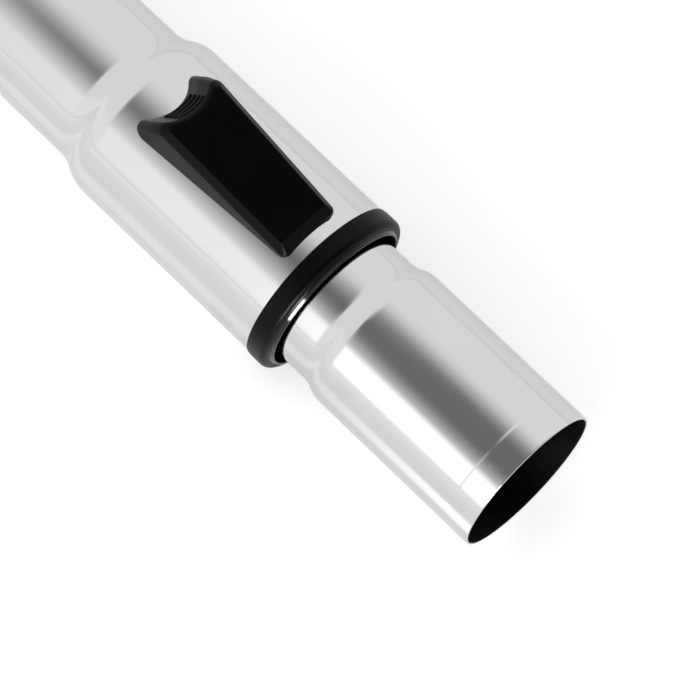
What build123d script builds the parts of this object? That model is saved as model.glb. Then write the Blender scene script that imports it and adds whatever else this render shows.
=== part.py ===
# Telescopic vacuum wand, pushed together and lying along X with its thumb slide up.
# The origin is on the tube axis at the floor-head end, and +X runs towards the handle socket.
from build123d import *
from math import cos, pi, radians, sin, sqrt, tan
import os

# Driving sizes along the wand, in millimetres
SPIGOT_LENGTH = 45.0
SPIGOT_TAPER = 4.0
TAIL_ROOM = 6.0
GLIDE_LENGTH = 36.0
PEG_LENGTH = 4.0
PEG_WIDTH = 3.0
TRAVEL = 360.0
STOP_GAP = 0.5
SLEEVE_TAIL_RING = 9.8
SWELL_LEAD = 3.0
FLARE_LENGTH = 9.6
COLLAR_FLANGE = 5.8
NECK_SHOWING = 6.8
SOCKET_FLARE = 5.9
SOCKET_DEPTH = 44.7

# Driving sizes round the wand
INNER_RADIUS = 16.75
TUBE_WALL = 0.6
SPIGOT_RADIUS = 17.5
SOCKET_BORE_RADIUS = 17.65
GLIDE_WALL = 0.55
SLEEVE_WALL = 3.28
COLLAR_STEP = 0.35
COLLAR_OPENING_GAP = 1.55

# Fits and clearances
TUBE_FIT = 0.07
SEAT = 0.05
PRESS_SEAT = 0.02
SLIDE_GAP = 0.2
PIN_GAP = 0.1

# Lock notches, pawl and its pin
NOTCH_PITCH = 30.0
NOTCH_LENGTH = 5.8
NOTCH_WIDTH = 6.4
NOTCH_DEPTH = 2.0
NOTCH_CORNER = 1.0
PRESSED_WALL = 0.45
PAWL_LENGTH = 4.8
PAWL_WIDTH = 5.2
PAWL_GAP = 0.15
PAWL_SEAT_GAP = 0.35
PAWL_LIFT_OVER = 0.35
PAWL_TOP_WALL = 0.7
PIN_RADIUS = 0.8
PIN_LENGTH = 11.8

# Guide grooves and the keys that run in them
GROOVE_WIDTH = 5.0
GROOVE_DEPTH = 1.5
GROOVE_ANGLE = 35.0
KEY_LENGTH = 6.0
KEY_GAP = 0.2

# Lightening bays in the upper half of the sleeve
BAY_WIDTH = 6.0
BAY_DEPTH = 1.9
BAY_ANGLES = (10.0, 32.0, 54.0)
BAY_RIB = 1.5

# Lock housing and its spring
HOUSING_WALL = 1.5
HOUSING_WIDTH = 9.0
FOOT_HEIGHT = 1.2
FOOT_LAP = 2.0
TOWER_SETBACK = 5.45
TOWER_RISE = 2.1
SPRING_LENGTH = 10.0
SPRING_RADIUS = 1.03
SPRING_WIRE = 0.17
SPRING_TURNS = 5
CHANNEL_WIDTH = 2.8
TRAY_RISE = 2.1

# Thumb slide
BUTTON_TRAVEL = 2.6
BUTTON_FRONT_GAP = 2.8
BUTTON_NOSE = 8.15
CAP_WALL = 1.3
CEILING_ROOM = 0.43
TOP_SLOPE = 10.57
TAIL_HALF_WIDTH = 10.15
NOSE_HALF_WIDTH = 8.1
SIDE_DRAFT = 4.3
BEVEL_WIDTH = 1.25
BEVEL_HEIGHT = 1.9
NOSE_BEVEL_RUN = 2.0
NOSE_BEVEL_DROP = 1.1
NOSE_CORNER = 1.5
RAMP_ANGLE = 54.0
RAMP_RUN = 6.1
RAMP_WALL = 1.4
SCOOP_RADIUS = 12.5
HORN_REACH = 5.0
TAIL_CORNER = 4.5
HORN_BEVEL = 1.1
GRIP_RIBS = 4
GRIP_PITCH = 2.1
GRIP_HEIGHT = 0.4
GRIP_WIDTH = 1.2
GRIP_FLANK = 65.0
GRIP_HALF_ANGLE = 18.0
LEG_WALL = 1.2
LEG_LENGTH = 3.5
HOOK_REACH = 1.2
HOOK_HEIGHT = 0.7

# End collar and wiper
WIPER_FLANGE = 2.5
WIPER_NOSE = 4.6
WIPER_WALL = 0.8
COLLAR_SKIRT_WALL = 1.05
COLLAR_SKIRT = 6.0
COLLAR_SHOULDER = 1.5
COLLAR_ROUND = 1.5
COLLAR_FLATS = 2
LUG_LENGTH = 2.4
LUG_WIDTH = 5.0
LUG_ANGLE = 55.0

# Radii that follow from the fits
inner_bore = INNER_RADIUS - TUBE_WALL
glide_bore = INNER_RADIUS + PRESS_SEAT
glide_radius = glide_bore + GLIDE_WALL
outer_bore = glide_radius + TUBE_FIT
outer_radius = outer_bore + TUBE_WALL
sleeve_bore = INNER_RADIUS + TUBE_FIT
sleeve_radius = sleeve_bore + SLEEVE_WALL
swell_bore = sleeve_radius + SEAT
swell_radius = swell_bore + TUBE_WALL
socket_radius = SOCKET_BORE_RADIUS + TUBE_WALL
collar_radius = swell_radius + COLLAR_STEP
collar_opening = INNER_RADIUS + COLLAR_OPENING_GAP
skirt_bore = sleeve_radius - COLLAR_SKIRT_WALL
wiper_radius = skirt_bore - SEAT

# Heights of the lock above the axis
groove_floor = INNER_RADIUS - GROOVE_DEPTH
notch_floor = INNER_RADIUS - NOTCH_DEPTH
pawl_lift = NOTCH_DEPTH - PAWL_SEAT_GAP + PAWL_LIFT_OVER
pawl_bottom = notch_floor + PAWL_SEAT_GAP
pin_z = swell_radius + PIN_RADIUS + SLIDE_GAP + PAWL_GAP
pawl_top = pin_z + PIN_RADIUS + PAWL_TOP_WALL
sleeve_floor = sleeve_bore + FOOT_HEIGHT * 0.65
foot_top = sleeve_floor + FOOT_HEIGHT
tower_top = pin_z + TOWER_RISE
spring_z = foot_top + SPRING_RADIUS + SPRING_WIRE + PIN_GAP

# Places along the wand, from the floor-head end
inner_tail_x = SPIGOT_LENGTH + SPIGOT_TAPER + TAIL_ROOM
glide_front_x = inner_tail_x + GLIDE_LENGTH
sleeve_tail_x = glide_front_x + TRAVEL + STOP_GAP
swell_tail_x = sleeve_tail_x - SWELL_LEAD
pocket_tail_x = sleeve_tail_x + SLEEVE_TAIL_RING
foot_tail_x = pocket_tail_x + SLIDE_GAP
window_tail_x = foot_tail_x + FOOT_LAP
tower_tail_x = foot_tail_x + TOWER_SETBACK
pawl_x = tower_tail_x + HOUSING_WALL + PAWL_GAP + PAWL_LENGTH / 2
tower_front_x = pawl_x + PAWL_LENGTH / 2 + PAWL_GAP + HOUSING_WALL
finger_x = tower_front_x + SLIDE_GAP * 5
spring_x = finger_x + HOUSING_WALL
tray_end_x = spring_x + SPRING_LENGTH
tray_front_x = tray_end_x + HOUSING_WALL
window_front_x = tray_front_x + SLIDE_GAP * 6
foot_front_x = window_front_x + FOOT_LAP
pocket_front_x = foot_front_x + SLIDE_GAP
button_front_x = tray_front_x + BUTTON_NOSE
swell_end_x = button_front_x + BUTTON_FRONT_GAP
sleeve_front_x = swell_end_x - COLLAR_SHOULDER - WIPER_FLANGE
collar_front_x = swell_end_x + COLLAR_FLANGE
socket_flare_x = collar_front_x + NECK_SHOWING
socket_x = socket_flare_x + SOCKET_FLARE
mouth_x = socket_x + SOCKET_DEPTH
ramp_x = pawl_x - PAWL_LENGTH / 2 - PAWL_GAP - HOUSING_WALL - BUTTON_TRAVEL - RAMP_RUN - RAMP_WALL * 1.25

# The top face of the thumb slide falls towards the collar
ceiling_at_pawl = pawl_top + pawl_lift + CEILING_ROOM
slope = tan(radians(TOP_SLOPE))
ceiling_anchor_x = pawl_x + PAWL_LENGTH / 2 - BUTTON_TRAVEL


def top_height(x):
    """Height of the thumb slide's top face above the axis."""
    return ceiling_at_pawl + CAP_WALL - slope * (x - ceiling_anchor_x)


def tube_profile(points, bends, wall):
    """Wall section of a drawn tube: straight runs between points, and smooth flares where bends says so."""
    outer = points
    inner = [(x, r - wall) for x, r in points]
    with BuildLine() as section:
        for run, flared in ((outer, bends), (inner, bends)):
            for i, (start, end) in enumerate(zip(run, run[1:])):
                if i in flared:
                    middle = ((start[0] + end[0]) / 2, (start[1] + end[1]) / 2)
                    TangentArc(start, middle, tangent=(1, 0))
                    TangentArc(end, middle, tangent=(-1, 0))
                else:
                    Line(start, end)
        Line(outer[0], inner[0])
        Line(outer[-1], inner[-1])
    return section


# Outer tube: spigot, long body, flare and the swelled end that holds the lock
lug_x = swell_end_x - COLLAR_SKIRT / 2 - SEAT
lug_angles = (-90 - LUG_ANGLE, -90 + LUG_ANGLE)
window_half_width = HOUSING_WIDTH / 2 + PIN_GAP * 4 + LEG_WALL + SLIDE_GAP
outer_points = [
    (0, SPIGOT_RADIUS),
    (SPIGOT_LENGTH, SPIGOT_RADIUS),
    (SPIGOT_LENGTH + SPIGOT_TAPER, outer_radius),
    (swell_tail_x - FLARE_LENGTH, outer_radius),
    (swell_tail_x, swell_radius),
    (swell_end_x, swell_radius),
]
with BuildPart() as outer_tube:
    with BuildSketch(Plane.XZ):
        add(tube_profile(outer_points, {3}, TUBE_WALL).line)
        make_face()
    revolve(axis=Axis.X)
    window_middle = (window_tail_x + window_front_x) / 2
    with BuildSketch(Plane.XY.offset(inner_bore)):
        with Locations((window_middle, 0)):
            RectangleRounded(window_front_x - window_tail_x, 2 * window_half_width, NOTCH_CORNER / 4)
    extrude(amount=swell_radius, mode=Mode.SUBTRACT)
    lug_holes = [
        Location((lug_x, swell_bore * cos(radians(a)), swell_bore * sin(radians(a))), (a, 0, 0))
        for a in lug_angles
    ]
    with Locations(*lug_holes):
        Box(LUG_LENGTH + 2 * SLIDE_GAP, 4 * TUBE_WALL, LUG_WIDTH + 2 * SLIDE_GAP, mode=Mode.SUBTRACT)
outer_tube.part.label = "outer_tube"

# Inner tube: lock notches on top, two guide grooves below, flared socket at the mouth
first_notch_x = pawl_x - TRAVEL
notch_count = int(TRAVEL / NOTCH_PITCH) + 1
notch_places = [(pawl_x - NOTCH_PITCH * i, 0) for i in range(notch_count)]
notch_top = sqrt(INNER_RADIUS**2 - (NOTCH_WIDTH / 2 + PRESSED_WALL) ** 2) - TUBE_WALL / 2
key_x = pocket_front_x - KEY_LENGTH / 2
groove_tail_x = key_x - KEY_LENGTH / 2 - TRAVEL - GROOVE_WIDTH
groove_front_x = key_x + KEY_LENGTH / 2 + GROOVE_WIDTH / 2
groove_middle = (groove_tail_x + groove_front_x) / 2
groove_length = groove_front_x - groove_tail_x
pan_half_width = GROOVE_WIDTH / 2 + TUBE_WALL
pan_top = sqrt(INNER_RADIUS**2 - pan_half_width**2) - TUBE_WALL / 2
groove_planes = [
    Plane((0, 0, 0), x_dir=(1, 0, 0), z_dir=(0, sin(radians(a)), -cos(radians(a))))
    for a in (-GROOVE_ANGLE, GROOVE_ANGLE)
]
peg_x = inner_tail_x + GLIDE_LENGTH * 0.6
inner_points = [
    (inner_tail_x, INNER_RADIUS),
    (socket_flare_x, INNER_RADIUS),
    (socket_x, socket_radius),
    (mouth_x, socket_radius),
]
with BuildPart() as inner_tube:
    with BuildSketch(Plane.XZ):
        add(tube_profile(inner_points, {1}, TUBE_WALL).line)
        make_face()
    revolve(axis=Axis.X)
    for plane in groove_planes:
        with BuildSketch(plane.offset(groove_floor - TUBE_WALL)):
            with Locations((groove_middle, 0)):
                Rectangle(groove_length + 2 * TUBE_WALL, 2 * pan_half_width)
            chamfer(vertices(), GROOVE_WIDTH / 4)
        extrude(amount=pan_top - groove_floor + TUBE_WALL)
        with BuildSketch(plane.offset(groove_floor)):
            with Locations((groove_middle, 0)):
                Rectangle(groove_length, GROOVE_WIDTH)
            chamfer(vertices(), GROOVE_WIDTH / 4)
        extrude(amount=2 * GROOVE_DEPTH, mode=Mode.SUBTRACT)
    with BuildSketch(Plane.XY.offset(notch_floor - PRESSED_WALL)):
        with Locations(*notch_places):
            Rectangle(NOTCH_LENGTH + 2 * PRESSED_WALL, NOTCH_WIDTH + 2 * PRESSED_WALL)
        chamfer(vertices(), NOTCH_CORNER)
    extrude(amount=notch_top - notch_floor + PRESSED_WALL)
    with BuildSketch(Plane.XY.offset(notch_floor)):
        with Locations(*notch_places):
            Rectangle(NOTCH_LENGTH, NOTCH_WIDTH)
        chamfer(vertices(), NOTCH_CORNER)
    extrude(amount=2 * NOTCH_DEPTH, mode=Mode.SUBTRACT)
    with BuildSketch(Plane.XZ):
        with Locations((peg_x, 0)):
            Rectangle(PEG_LENGTH + 2 * SEAT, PEG_WIDTH + 2 * SEAT)
    extrude(amount=INNER_RADIUS * 2, both=True, mode=Mode.SUBTRACT)
inner_tube.part.label = "inner_tube"

# Tail glide: bush on the hidden end of the inner tube, snapped in by two pegs
with BuildPart() as tail_glide:
    with BuildSketch(Plane.XZ):
        with BuildLine():
            Polyline(
                (inner_tail_x - GLIDE_WALL * 2, inner_bore),
                (inner_tail_x - GLIDE_WALL * 2, glide_radius),
                (glide_front_x, glide_radius),
                (glide_front_x, glide_bore),
                (inner_tail_x, glide_bore),
                (inner_tail_x, inner_bore),
                close=True,
            )
        make_face()
    revolve(axis=Axis.X)
    with BuildSketch(Plane.XZ):
        with Locations((peg_x, 0)):
            Rectangle(PEG_LENGTH, PEG_WIDTH)
    extrude(amount=glide_bore + PRESS_SEAT, both=True)
    with BuildSketch(Plane.YZ.offset(inner_tail_x)):
        Circle(inner_bore + PRESS_SEAT)
    extrude(amount=GLIDE_LENGTH, mode=Mode.SUBTRACT)
tail_glide.part.label = "tail_glide"

# Guide sleeve: bearing in the swelled end, with a pocket for the lock, keys for the grooves and bays
pocket_half_width = window_half_width + HOOK_REACH + SLIDE_GAP
with BuildPart() as guide_sleeve:
    with BuildSketch(Plane.XZ):
        with BuildLine():
            Polyline(
                (sleeve_tail_x, sleeve_bore),
                (sleeve_tail_x, sleeve_radius),
                (swell_end_x - COLLAR_SKIRT - SLIDE_GAP, sleeve_radius),
                (swell_end_x - COLLAR_SKIRT - SLIDE_GAP, wiper_radius),
                (sleeve_front_x, wiper_radius),
                (sleeve_front_x, sleeve_bore),
                close=True,
            )
        make_face()
    revolve(axis=Axis.X)
    with BuildSketch(Plane.XY.offset(sleeve_floor)):
        with Locations(((pocket_tail_x + pocket_front_x) / 2, 0)):
            Rectangle(pocket_front_x - pocket_tail_x, 2 * pocket_half_width)
    extrude(amount=SLEEVE_WALL, mode=Mode.SUBTRACT)
    for plane in groove_planes:
        with BuildSketch(plane.offset(groove_floor + KEY_GAP)):
            with Locations((key_x, 0)):
                Rectangle(KEY_LENGTH, GROOVE_WIDTH - 2 * KEY_GAP)
        extrude(amount=sleeve_floor - groove_floor - KEY_GAP)
    with BuildSketch(Plane.XY.offset(notch_floor)):
        with Locations((pawl_x, 0)):
            Rectangle(PAWL_LENGTH + 2 * PAWL_GAP, PAWL_WIDTH + 2 * PAWL_GAP)
    extrude(amount=SLEEVE_WALL, mode=Mode.SUBTRACT)
    bay_length = (pocket_front_x - pocket_tail_x - BAY_RIB) / 2
    bay_places = [
        Location((x, sleeve_radius * cos(radians(a)), sleeve_radius * sin(radians(a))), (a, 0, 0))
        for x in (pocket_tail_x + bay_length / 2, pocket_front_x - bay_length / 2)
        for angle in BAY_ANGLES
        for a in (angle, 180 - angle)
    ]
    with Locations(*bay_places):
        Box(bay_length, 2 * BAY_DEPTH, BAY_WIDTH, mode=Mode.SUBTRACT)
guide_sleeve.part.label = "guide_sleeve"

# Wiper ring: clamped between the sleeve and the collar, its nose seen in the collar's recess
with BuildPart() as wiper_ring:
    with BuildSketch(Plane.XZ):
        with BuildLine():
            Polyline(
                (sleeve_front_x, INNER_RADIUS + SEAT),
                (sleeve_front_x, wiper_radius),
                (sleeve_front_x + WIPER_FLANGE, wiper_radius),
                (sleeve_front_x + WIPER_FLANGE, INNER_RADIUS + SEAT + WIPER_WALL),
                (sleeve_front_x + WIPER_FLANGE + WIPER_NOSE, INNER_RADIUS + SEAT + WIPER_WALL),
                (sleeve_front_x + WIPER_FLANGE + WIPER_NOSE, INNER_RADIUS + SEAT),
                close=True,
            )
        make_face()
    revolve(axis=Axis.X)
wiper_ring.part.label = "wiper_ring"

# End collar: skirt inside the tube, rounded flange outside, two lugs snapped into the tube's underside
flange_angles = [pi / 2 * i / COLLAR_FLATS for i in range(COLLAR_FLATS + 1)]
with BuildPart() as end_collar:
    with BuildSketch(Plane.XZ):
        with BuildLine():
            Polyline(
                (swell_end_x - COLLAR_SKIRT, skirt_bore),
                (swell_end_x - COLLAR_SKIRT, sleeve_radius),
                (swell_end_x, sleeve_radius),
                (swell_end_x, collar_radius),
                *[
                    (
                        collar_front_x - COLLAR_ROUND * (1 - sin(a)),
                        collar_radius - COLLAR_ROUND * (1 - cos(a)),
                    )
                    for a in flange_angles
                ],
                (collar_front_x, collar_opening + COLLAR_ROUND / 3),
                (collar_front_x - COLLAR_ROUND / 3, collar_opening),
                (swell_end_x - COLLAR_SHOULDER, collar_opening),
                (swell_end_x - COLLAR_SHOULDER, skirt_bore),
                close=True,
            )
        make_face()
    revolve(axis=Axis.X)
    lug_reach = swell_radius - SEAT - sleeve_radius + COLLAR_SKIRT_WALL / 2
    lug_middle = swell_radius - SEAT - lug_reach / 2
    lug_places = [
        Location((lug_x, lug_middle * cos(radians(a)), lug_middle * sin(radians(a))), (a, 0, 0))
        for a in lug_angles
    ]
    with Locations(*lug_places):
        Box(LUG_LENGTH, lug_reach, LUG_WIDTH)
end_collar.part.label = "end_collar"

# Lock housing: foot under the tube wall, tower round the pawl and a tray for the spring
with BuildPart() as lock_housing:
    with BuildSketch(Plane.XY.offset(sleeve_floor)):
        with Locations(((foot_tail_x + foot_front_x) / 2, 0)):
            RectangleRounded(foot_front_x - foot_tail_x, HOUSING_WIDTH, NOTCH_CORNER)
    extrude(amount=FOOT_HEIGHT)
    with BuildSketch(Plane.XY.offset(foot_top)):
        with Locations(((tower_front_x + tray_front_x) / 2, 0)):
            Rectangle(tray_front_x - tower_front_x, HOUSING_WIDTH)
    extrude(amount=TRAY_RISE)
    with BuildSketch(Plane.XY.offset(foot_top)):
        with Locations(((tower_tail_x + tower_front_x) / 2, 0)):
            Rectangle(tower_front_x - tower_tail_x, HOUSING_WIDTH)
    extrude(amount=tower_top - foot_top)
    with BuildSketch(Plane.XY.offset(foot_top)):
        with Locations(((tower_front_x + tray_end_x) / 2, 0)):
            Rectangle(tray_end_x - tower_front_x, CHANNEL_WIDTH)
    extrude(amount=TRAY_RISE, mode=Mode.SUBTRACT)
    with BuildSketch(Plane.XY.offset(sleeve_floor)):
        with Locations((pawl_x, 0)):
            Rectangle(PAWL_LENGTH + 2 * PAWL_GAP, PAWL_WIDTH + 2 * PAWL_GAP)
    extrude(amount=tower_top, mode=Mode.SUBTRACT)
    slot_half_width = PIN_RADIUS + PAWL_GAP
    with BuildSketch(Plane.XZ):
        with Locations((pawl_x, pin_z)):
            Circle(slot_half_width)
        with Locations((pawl_x, pin_z + TOWER_RISE / 2)):
            Rectangle(2 * slot_half_width, TOWER_RISE)
    extrude(amount=HOUSING_WIDTH, both=True, mode=Mode.SUBTRACT)
lock_housing.part.label = "lock_housing"

# Lock pawl: block with a tapered nose, cross-drilled for its pin
with BuildPart() as lock_pawl:
    with BuildSketch(Plane.XY.offset(pawl_bottom)):
        with Locations((pawl_x, 0)):
            Rectangle(PAWL_LENGTH, PAWL_WIDTH)
    extrude(amount=pawl_top - pawl_bottom)
    chamfer(lock_pawl.faces().sort_by(Axis.Z)[0].edges(), PAWL_SEAT_GAP)
    with BuildSketch(Plane.XZ):
        with Locations((pawl_x, pin_z)):
            Circle(PIN_RADIUS + PRESS_SEAT)
    extrude(amount=PAWL_WIDTH, both=True, mode=Mode.SUBTRACT)
lock_pawl.part.label = "lock_pawl"

# Pawl pin
with BuildPart() as pawl_pin:
    with BuildSketch(Plane.XZ):
        with Locations((pawl_x, pin_z)):
            Circle(PIN_RADIUS)
    extrude(amount=PIN_LENGTH / 2, both=True)
pawl_pin.part.label = "pawl_pin"


# Return spring: compression coil between the thumb slide's finger and the end of the tray
spring_start = (spring_x + SPRING_WIRE, 0, spring_z)
coil_length = SPRING_LENGTH - 2 * SPRING_WIRE
with BuildPart() as return_spring:
    with BuildLine() as coil:
        Helix(coil_length / SPRING_TURNS, coil_length, SPRING_RADIUS, spring_start, (1, 0, 0))
    with BuildSketch(Plane(origin=coil.line @ 0, z_dir=coil.line % 0)):
        RegularPolygon(SPRING_WIRE, 4)
    sweep(is_frenet=True)
return_spring.part.label = "return_spring"

# Scoop of the thumb slide: a cylinder along the ramp
ramp = (cos(radians(RAMP_ANGLE)), 0, sin(radians(RAMP_ANGLE)))
away = (-ramp[2], 0, ramp[0])
scoop_origin = (ramp_x + SCOOP_RADIUS * away[0], 0, swell_radius + SCOOP_RADIUS * away[2])
ramp_length = (top_height(ramp_x + RAMP_RUN) - swell_radius) / ramp[2]
with BuildPart() as scoop:
    with BuildSketch(Plane(origin=scoop_origin, x_dir=away, z_dir=ramp)):
        Circle(SCOOP_RADIUS)
    extrude(amount=3 * ramp_length, both=True)

# Grip ribs of the thumb slide: short bars across the middle of the scoop
rib_turn = radians(GRIP_HALF_ANGLE)
rib_normal = (away[0] * sin(rib_turn), -cos(rib_turn), away[2] * sin(rib_turn))
with BuildPart() as grip_ribs:
    with BuildSketch(Plane(origin=scoop_origin, x_dir=ramp, z_dir=rib_normal)):
        with Locations((ramp_length / 2, -SCOOP_RADIUS - GRIP_HEIGHT)):
            with GridLocations(GRIP_PITCH, 0, GRIP_RIBS, 1):
                Trapezoid(GRIP_WIDTH, 2 * GRIP_HEIGHT, GRIP_FLANK, align=(Align.CENTER, Align.MIN))
    revolve(axis=Axis(scoop_origin, ramp), revolution_arc=2 * GRIP_HALF_ANGLE)


horn_x = ramp_x - HORN_REACH


def slide_wedge(inset):
    """Drafted wedge with bevelled top edges: the thumb slide's outside, or its hollow at an inset."""
    tail_half = TAIL_HALF_WIDTH - inset
    nose_half = NOSE_HALF_WIDTH - inset
    top_plane = Plane((ceiling_anchor_x, 0, top_height(ceiling_anchor_x) - inset), z_dir=(slope, 0, 1))
    with BuildPart() as wedge:
        with BuildSketch(Plane.XY.offset(inner_bore)):
            with BuildLine():
                Polyline(
                    (horn_x, -tail_half),
                    (button_front_x - inset, -nose_half),
                    (button_front_x - inset, nose_half),
                    (horn_x, tail_half),
                    close=True,
                )
            make_face()
            fillet(vertices().group_by(Axis.X)[0], TAIL_CORNER - inset)
        extrude(amount=top_height(horn_x) - inner_bore, taper=SIDE_DRAFT)
        split(bisect_by=top_plane, keep=Keep.BOTTOM)
        top_face = wedge.faces().sort_by(Axis.Z)[-1]
        top_sides = top_face.edges().filter_by(GeomType.LINE).sort_by(Axis.Y)
        chamfer([top_sides[0], top_sides[-1]], BEVEL_WIDTH, BEVEL_HEIGHT, reference=top_face)
    return wedge


# Thumb slide: hollow wedge with its cam plates, clip legs and spring fingers
cavity_half_width = window_half_width - SLIDE_GAP
plate_inside = cavity_half_width - LEG_WALL
ramp_inside_x = ramp_x + RAMP_WALL / ramp[2]
legs_bottom = sleeve_floor + PAWL_GAP
plate_tail_x = tower_tail_x - SLIDE_GAP
plate_front_x = tower_front_x + HOUSING_WALL
front_leg_x = window_front_x - BUTTON_TRAVEL - SLIDE_GAP - LEG_LENGTH
cam_middle = (pawl_x - BUTTON_TRAVEL / 2, pin_z + pawl_lift / 2)
cam_end = (pawl_x - BUTTON_TRAVEL, pin_z + pawl_lift)


with BuildPart() as hollow:
    add(slide_wedge(CAP_WALL).part)
    split(bisect_by=Plane((ramp_inside_x, 0, swell_radius), z_dir=(ramp[2], 0, -ramp[0])), keep=Keep.TOP)

with BuildPart() as button_cap:
    add(slide_wedge(0).part)
    nose_face = button_cap.faces().sort_by(Axis.X)[-1]
    nose_edge = nose_face.edges().filter_by(Axis.Y).sort_by(Axis.Z)[-1]
    chamfer(nose_edge, NOSE_BEVEL_DROP, NOSE_BEVEL_RUN, reference=nose_face)
    nose_sides = button_cap.faces().sort_by(Axis.X)[-1].edges().group_by(Axis.Z)[1]
    fillet(nose_sides, NOSE_CORNER)
    add(scoop.part, mode=Mode.SUBTRACT)
    scoop_face = button_cap.faces().filter_by(GeomType.CYLINDER)[0]
    chamfer(scoop_face.edges().sort_by(Axis.Z)[1:], HORN_BEVEL)
    add(hollow.part, mode=Mode.SUBTRACT)
    add(grip_ribs.part)
    with BuildSketch(Plane.YZ.offset(horn_x - SCOOP_RADIUS)):
        Circle(swell_radius + SLIDE_GAP)
    extrude(amount=button_front_x - horn_x + 2 * SCOOP_RADIUS, mode=Mode.SUBTRACT)
    for side in (-1, 1):
        inner_face = Plane.XZ.offset(-side * plate_inside)
        lip_face = Plane.XZ.offset(-side * cavity_half_width)
        for tail, front in ((plate_tail_x, plate_front_x), (front_leg_x, front_leg_x + LEG_LENGTH)):
            with BuildSketch(inner_face):
                with BuildLine():
                    Polyline(
                        (tail, legs_bottom),
                        (tail, top_height(tail) - CAP_WALL / 2),
                        (front, top_height(front) - CAP_WALL / 2),
                        (front, legs_bottom),
                        close=True,
                    )
                make_face()
            extrude(amount=-side * LEG_WALL)
            with BuildSketch(lip_face):
                with Locations(((tail + front) / 2, legs_bottom + HOOK_HEIGHT / 2)):
                    Rectangle(front - tail, HOOK_HEIGHT)
            extrude(amount=-side * HOOK_REACH)
    with BuildSketch(Plane.XZ):
        SlotCenterPoint(cam_middle, cam_end, 2 * (PIN_RADIUS + PIN_GAP))
    extrude(amount=cavity_half_width, both=True, mode=Mode.SUBTRACT)
    finger_bottom = foot_top + SLIDE_GAP
    with BuildSketch(Plane.XY.offset(finger_bottom)):
        with Locations((finger_x + HOUSING_WALL / 2, 0)):
            Rectangle(HOUSING_WALL, CHANNEL_WIDTH - 2 * SLIDE_GAP)
    extrude(amount=top_height(finger_x) - CAP_WALL / 2 - finger_bottom)
button_cap.part.label = "button_cap"

pieces = [
    outer_tube,
    inner_tube,
    tail_glide,
    guide_sleeve,
    wiper_ring,
    end_collar,
    lock_housing,
    lock_pawl,
    pawl_pin,
    return_spring,
    button_cap,
]
os.makedirs("parts", exist_ok=True)
for piece in pieces:
    export_step(piece.part, f"parts/{piece.part.label}.step")
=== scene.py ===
from math import asin, atan2, cos, degrees, pi, radians, sin, sqrt, tan

import bmesh
import bpy
from mathutils import Matrix, Vector


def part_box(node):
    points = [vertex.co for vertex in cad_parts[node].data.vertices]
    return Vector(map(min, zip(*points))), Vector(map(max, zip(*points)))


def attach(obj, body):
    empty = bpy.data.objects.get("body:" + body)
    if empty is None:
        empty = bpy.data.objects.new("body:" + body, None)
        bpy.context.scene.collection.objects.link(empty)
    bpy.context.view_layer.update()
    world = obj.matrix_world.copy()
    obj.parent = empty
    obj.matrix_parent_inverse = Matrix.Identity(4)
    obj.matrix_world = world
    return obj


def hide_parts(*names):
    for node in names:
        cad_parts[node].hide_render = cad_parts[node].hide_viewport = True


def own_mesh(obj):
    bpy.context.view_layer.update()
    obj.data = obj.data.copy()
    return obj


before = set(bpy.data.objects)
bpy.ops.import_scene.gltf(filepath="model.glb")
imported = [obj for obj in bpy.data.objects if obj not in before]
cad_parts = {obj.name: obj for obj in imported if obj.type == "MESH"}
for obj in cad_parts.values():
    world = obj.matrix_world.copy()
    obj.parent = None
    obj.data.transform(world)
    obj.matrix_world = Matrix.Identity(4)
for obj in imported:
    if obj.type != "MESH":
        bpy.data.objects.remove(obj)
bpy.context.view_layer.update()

MM = 0.001

# Radii and walls, as the solids have them
SPIGOT_RADIUS = 17.5 * MM
OUTER_RADIUS = 17.99 * MM
SWELL_RADIUS = 20.75 * MM
INNER_RADIUS = 16.75 * MM
SOCKET_RADIUS = 18.25 * MM
TUBE_WALL = 0.6 * MM
SLEEVE_RADIUS = 20.10 * MM
SKIRT_BORE = 19.05 * MM
COLLAR_OPENING = 18.3 * MM
LIP_RADIUS = 18.75 * MM
LIP_FOOT = 19.15 * MM
WIPER_BORE = 16.8 * MM

# Lengths along the wand
SPIGOT_LENGTH = 45.0 * MM
SPIGOT_TAPER = 4.0 * MM
FLARE_LENGTH = 9.6 * MM
SWELL_LENGTH = 51.5 * MM
SOCKET_FLARE = 5.9 * MM
SOCKET_DEPTH = 44.7 * MM
RIM_ROUND = 0.14 * MM
HOLD = 0.5 * MM
CLOSE = 0.03 * MM
LIP_HEIGHT = 0.65 * MM
COLLAR_SHOULDER = 1.5 * MM
COLLAR_ROUND = 1.5 * MM
PARTING_STEP = 0.12 * MM
PARTING_PLACE = 0.75 * MM

# Pressed forms of the inner tube
NOTCH_PITCH = 30.0 * MM
NOTCH_COUNT = 13
NOTCH_LENGTH = 5.8 * MM
NOTCH_WIDTH = 6.4 * MM
NOTCH_DEPTH = 2.0 * MM
GROOVE_WIDTH = 5.0 * MM
GROOVE_DEPTH = 1.5 * MM
GROOVE_ANGLE = 35.0
GROOVE_TAIL = 66.45 * MM
GROOVE_FRONT = 68.25 * MM
PRESS_BEND = 0.9 * MM
FORMING_STEP = 0.025 * MM
FORMING_PLACE = 7.2 * MM

# Window and lug holes of the outer tube
WINDOW_LENGTH = 26.75 * MM
WINDOW_SETBACK = 9.75 * MM
WINDOW_WIDTH = 12.6 * MM
LUG_SETBACK = 3.05 * MM
LUG_ANGLE = 55.0
LUG_LENGTH = 2.4 * MM
LUG_WIDTH = 5.0 * MM
LUG_GAP = 0.2 * MM

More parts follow.
